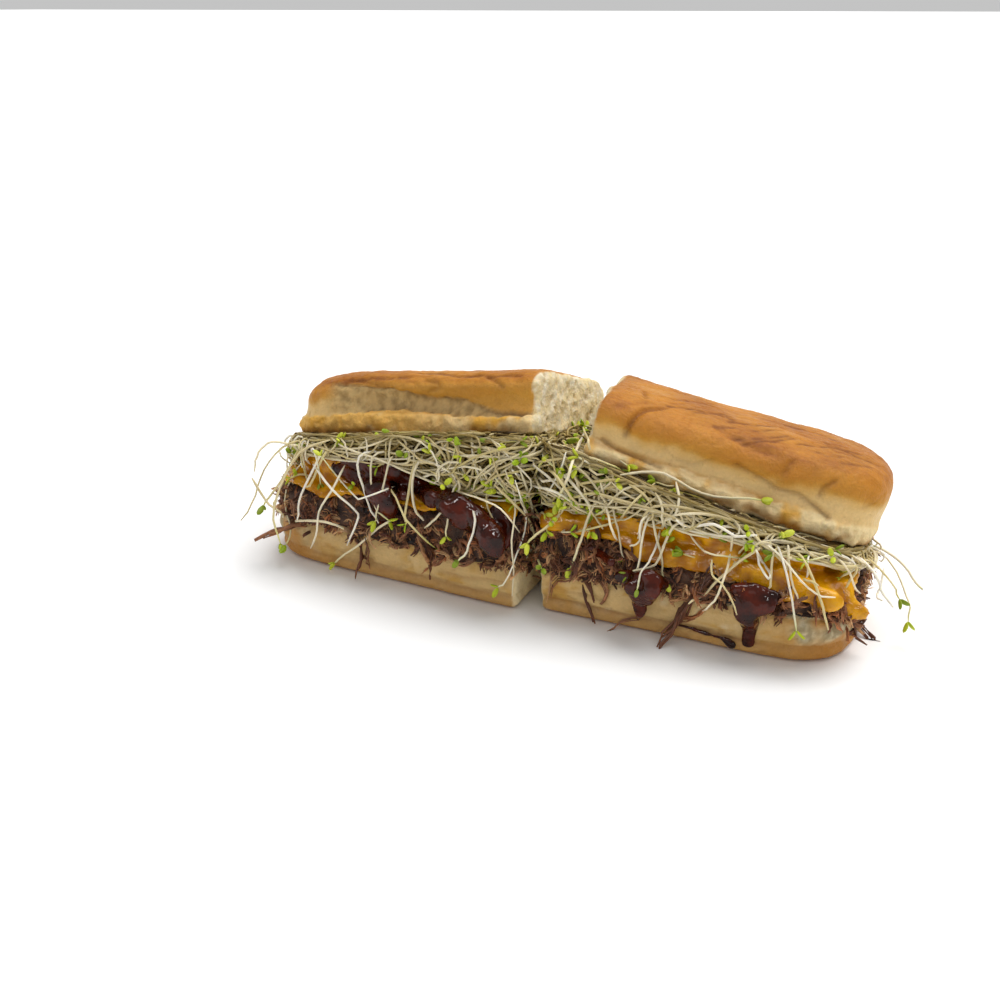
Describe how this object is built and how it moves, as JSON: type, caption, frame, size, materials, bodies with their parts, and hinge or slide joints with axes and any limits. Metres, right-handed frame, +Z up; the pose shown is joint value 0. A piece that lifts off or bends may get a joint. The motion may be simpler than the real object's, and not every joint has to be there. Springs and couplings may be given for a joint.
{
  "type": "panini",
  "caption": "Long pressed roll filled with pulled beef, barbecue sauce, melted cheese and sprouts, cut across the middle, halves end to end.",
  "frame": {"origin": "middle of the footprint of the whole thing's bounding box, on the surface it rests on", "axes": "+X along the roll, from the left half to the right half; -Y is the open front that faces the eater; +Z up"},
  "size_m": [0.2546, 0.0948, 0.0853],
  "materials": {
    "bottom_bread": "matt, pale tan baked bread, a little porous",
    "top_bread": "toasted golden-brown crust with a slight sheen, pale cream sides",
    "beef": "moist grey-brown shreds with glossy dark red-brown sauce",
    "cheese": "smooth, glossy, melted orange-yellow",
    "sprouts": "slightly shiny cream-white stems with yellow-green seed leaves"
  },
  "bodies": {
    "root": {"bottom_bread_left": "bottom_bread", "beef_left": "beef", "cheese_left": "cheese", "sprouts_left": "sprouts", "top_bread_left": "top_bread", "bottom_bread_right": "bottom_bread", "beef_right": "beef", "cheese_right": "cheese", "sprouts_right": "sprouts", "top_bread_right": "top_bread"}
  },
  "joints": []
}
